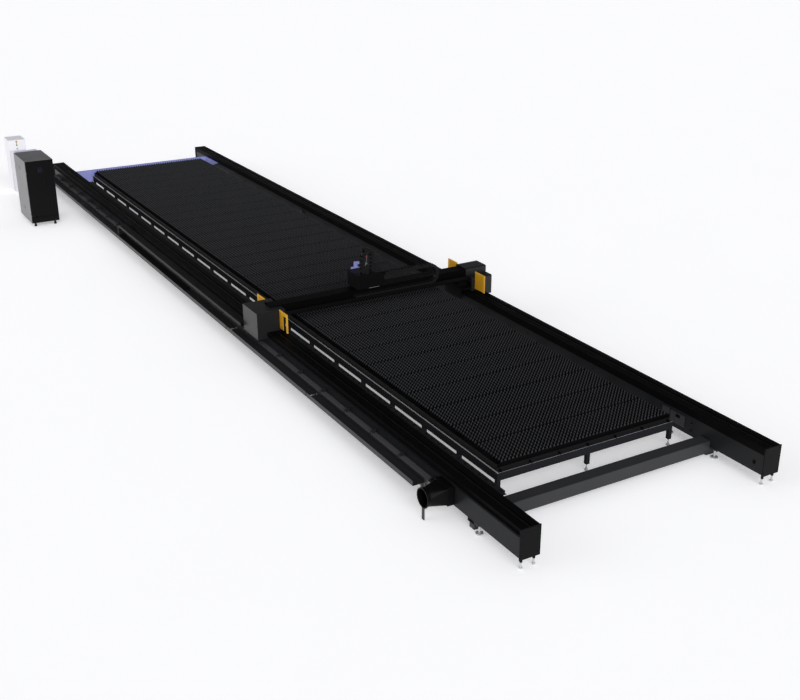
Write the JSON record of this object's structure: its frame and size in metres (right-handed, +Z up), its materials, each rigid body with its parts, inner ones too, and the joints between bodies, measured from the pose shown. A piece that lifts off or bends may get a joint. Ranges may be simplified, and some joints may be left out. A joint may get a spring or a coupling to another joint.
{
  "type": "gantry laser cutting machine",
  "caption": "Long flat-bed laser cutting machine: bed beams carry a travelling gantry with a cross carriage over a slatted table; suction duct, cable chains and cabinets at the side.",
  "frame": {"origin": "middle of the machine's footprint on the floor, cabinets included", "axes": "+Y along the bed towards the control cabinet, +X across the bed away from the cabinets, +Z up"},
  "size_m": [6.343, 22.542, 1.748],
  "materials": {
    "frame_grey": "satin powder coat, dark blue-grey",
    "gloss_black": "gloss powder coat, black",
    "lavender": "satin powder coat, lavender blue",
    "yellow": "semi-gloss powder coat, safety yellow",
    "white_paint": "satin powder coat, off-white",
    "duct_sheet": "satin powder coat, near-black",
    "bare_steel": "mill-finished steel",
    "dark_steel": "burnished black, lightly oiled",
    "slat_steel": "laser-cut sheet, darkened and matt",
    "chrome": "bright zinc and chrome plate",
    "cast": "machined aluminium",
    "chain_black": "moulded black nylon, matt",
    "screen_glass": "dark glossy display glass",
    "lamp_plastic": "translucent coloured lens",
    "red_plastic": "gloss red"
  },
  "bodies": {
    "machine": {"bed_beams": "frame_grey", "bed_caps": "gloss_black", "guide_rails": "dark_steel", "gear_racks": "dark_steel", "bed_end_plates": "gloss_black", "inner_ledge": "gloss_black", "near_cross_beam": "frame_grey", "far_cross_beam": "lavender", "bed_feet": "chrome", "bed_foot_brackets": "frame_grey", "table_frame": "frame_grey", "table_feet": "chrome", "slat_carriers": "dark_steel", "duct_body": "duct_sheet", "duct_flanges": "duct_sheet", "duct_outlet": "duct_sheet", "outlet_branch": "duct_sheet", "outlet_spigot": "duct_sheet", "duct_and_tray_supports": "frame_grey", "chain_tray": "duct_sheet", "long_chain_lower_run": "chain_black", "cabinet_body": "gloss_black", "cabinet_feet": "dark_steel", "cabinet_cooler": "lavender", "control_cabinet_body": "white_paint", "signal_lamps": "lamp_plastic", "slats_1": "slat_steel", "slats_2": "slat_steel", "slats_3": "slat_steel", "slats_4": "slat_steel"},
    "gantry": {"long_chain_upper_run": "chain_black", "gantry_beam": "gloss_black", "gantry_tray": "gloss_black", "beam_guides": "dark_steel", "carriage_bases": "gloss_black", "guide_blocks": "bare_steel", "drive_motors": "gloss_black", "left_cover": "gloss_black", "right_covers": "gloss_black", "guard_plates": "yellow", "beam_chain_lower_run": "chain_black"},
    "drive_left": {"left_pinion": "dark_steel"},
    "drive_right": {"right_pinion": "dark_steel"},
    "chain_roll": {"long_chain_bend": "chain_black"},
    "cross_carriage": {"saddle": "cast", "head_housing": "gloss_black", "z_axis_unit": "lavender", "bow_fixed_leg": "chain_black", "beam_chain_upper_run": "chain_black"},
    "beam_chain_roll": {"beam_chain_bend": "chain_black"},
    "z_carrier": {"z_slide": "cast", "cutting_head": "cast", "bow_moving_leg": "chain_black"},
    "bow_roll": {"head_bow": "chain_black"},
    "power_door": {"cabinet_door": "gloss_black", "cabinet_screen": "screen_glass"},
    "handle": {"door_handle": "chrome"},
    "key": {"key_switch": "chrome"},
    "control_door": {"control_cabinet_door": "white_paint"},
    "stop": {"stop_button": "red_plastic"}
  },
  "joints": [
    {"name": "gantry_travel", "type": "slide", "parent": "machine", "child": "gantry", "axis": [0, 1, 0], "range_m": [-6.6, 13]},
    {"name": "chain_roll", "type": "slide", "parent": "machine", "child": "chain_roll", "axis": [0, 1, 0], "range_m": [-3.3, 6.5], "deforming": ["long_chain_lower_run", "long_chain_upper_run"]},
    {"name": "left_pinion_turn", "type": "hinge", "parent": "gantry", "child": "drive_left", "pos_m": [-1.6423, -3.394, 0.51], "axis": [0, 0, 1], "continuous": true},
    {"name": "right_pinion_turn", "type": "hinge", "parent": "gantry", "child": "drive_right", "pos_m": [3.0053, -3.394, 0.51], "axis": [0, 0, 1], "continuous": true},
    {"name": "cross_travel", "type": "slide", "parent": "gantry", "child": "cross_carriage", "axis": [1, 0, 0], "range_m": [-1.45, 1.55]},
    {"name": "beam_chain_roll", "type": "slide", "parent": "gantry", "child": "beam_chain_roll", "axis": [1, 0, 0], "range_m": [-0.725, 0.775], "deforming": ["beam_chain_lower_run", "beam_chain_upper_run"]},
    {"name": "z_travel", "type": "slide", "parent": "cross_carriage", "child": "z_carrier", "axis": [0, 0, 1], "range_m": [-0.07, 0.1]},
    {"name": "bow_roll", "type": "slide", "parent": "cross_carriage", "child": "bow_roll", "axis": [0, 0, 1], "range_m": [-0.035, 0.05], "deforming": ["bow_fixed_leg", "bow_moving_leg"]},
    {"name": "power_door_hinge", "type": "hinge", "parent": "machine", "child": "power_door", "pos_m": [-3.1655, 7.0747, 0.8], "axis": [0, 0, 1], "range_deg": [-120, 0]},
    {"name": "handle_turn", "type": "hinge", "parent": "power_door", "child": "handle", "pos_m": [-2.7685, 7.081, 1.115], "axis": [0, 1, 0], "range_deg": [0, 90]},
    {"name": "key_turn", "type": "hinge", "parent": "power_door", "child": "key", "pos_m": [-2.9385, 7.081, 1.1], "axis": [0, 1, 0], "range_deg": [0, 90]},
    {"name": "control_door_hinge", "type": "hinge", "parent": "machine", "child": "control_door", "pos_m": [-2.3505, 10.7047, 0.6], "axis": [0, 0, 1], "range_deg": [0, 120]},
    {"name": "stop_press", "type": "slide", "parent": "machine", "child": "stop", "axis": [0, 1, 0], "range_m": [0, 0.006], "stiffness_N_per_m": 400}
  ],
  "couplings": [
    {"joint": "chain_roll", "follows": "gantry_travel", "ratio": 0.5},
    {"joint": "left_pinion_turn", "follows": "gantry_travel", "rad_per_m": -25},
    {"joint": "right_pinion_turn", "follows": "gantry_travel", "rad_per_m": 25},
    {"joint": "beam_chain_roll", "follows": "cross_travel", "ratio": 0.5},
    {"joint": "bow_roll", "follows": "z_travel", "ratio": 0.5}
  ]
}
